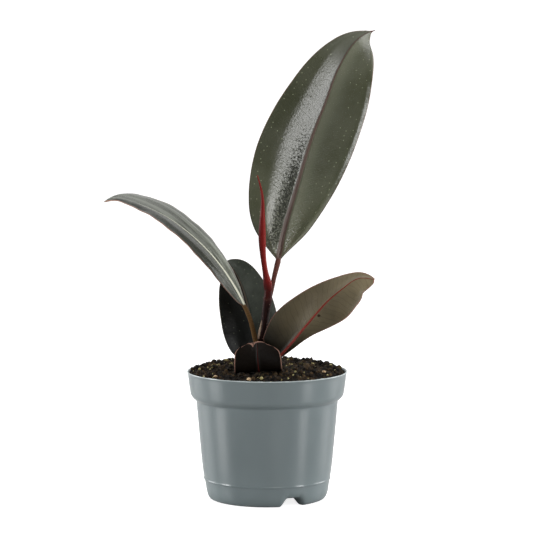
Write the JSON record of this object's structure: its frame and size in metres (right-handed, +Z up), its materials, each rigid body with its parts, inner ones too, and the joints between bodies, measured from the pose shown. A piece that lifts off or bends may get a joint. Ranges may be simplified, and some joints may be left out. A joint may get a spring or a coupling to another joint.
{
  "type": "potted rubber plant",
  "caption": "Young rubber plant with broad dark glossy leaves and a red leaf sheath, rooted in soil in a round tapered plastic nursery pot with arched drainage feet.",
  "frame": {"origin": "centre of the whole plant's bounding box in X and Y, on the ground plane under the pot's feet", "axes": "+Z up along the pot's axis; -Y is the front, which shows the upper side of the tallest leaf; +X to the right as seen from the front"},
  "size_m": [0.2018, 0.1188, 0.3454],
  "materials": {
    "pot_plastic": "satin",
    "potting_soil": "rough",
    "stem_bark": "satin",
    "sheath_skin": "glossy",
    "dry_stipule_skin": "matte",
    "leaf_top_skin": "glossy",
    "leaf_left_skin": "glossy",
    "leaf_back_skin": "glossy",
    "leaf_right_skin": "satin",
    "leaf_front_skin": "satin",
    "perlite": "rough",
    "bark": "rough"
  },
  "bodies": {
    "root": {"pot": "pot_plastic", "soil": "potting_soil", "stem": "stem_bark", "terminal_sheath": "sheath_skin", "dry_stipule": "dry_stipule_skin", "leaf_top": "leaf_top_skin", "leaf_left": "leaf_left_skin", "leaf_back": "leaf_back_skin", "leaf_right": "leaf_right_skin", "leaf_front": "leaf_front_skin", "perlite_01": "perlite", "perlite_02": "perlite", "perlite_03": "perlite", "perlite_04": "perlite", "perlite_05": "perlite", "perlite_06": "perlite", "perlite_07": "perlite", "perlite_08": "perlite", "perlite_09": "perlite", "perlite_10": "perlite", "bark_chip_01": "bark", "bark_chip_02": "bark", "bark_chip_03": "bark"}
  },
  "joints": []
}
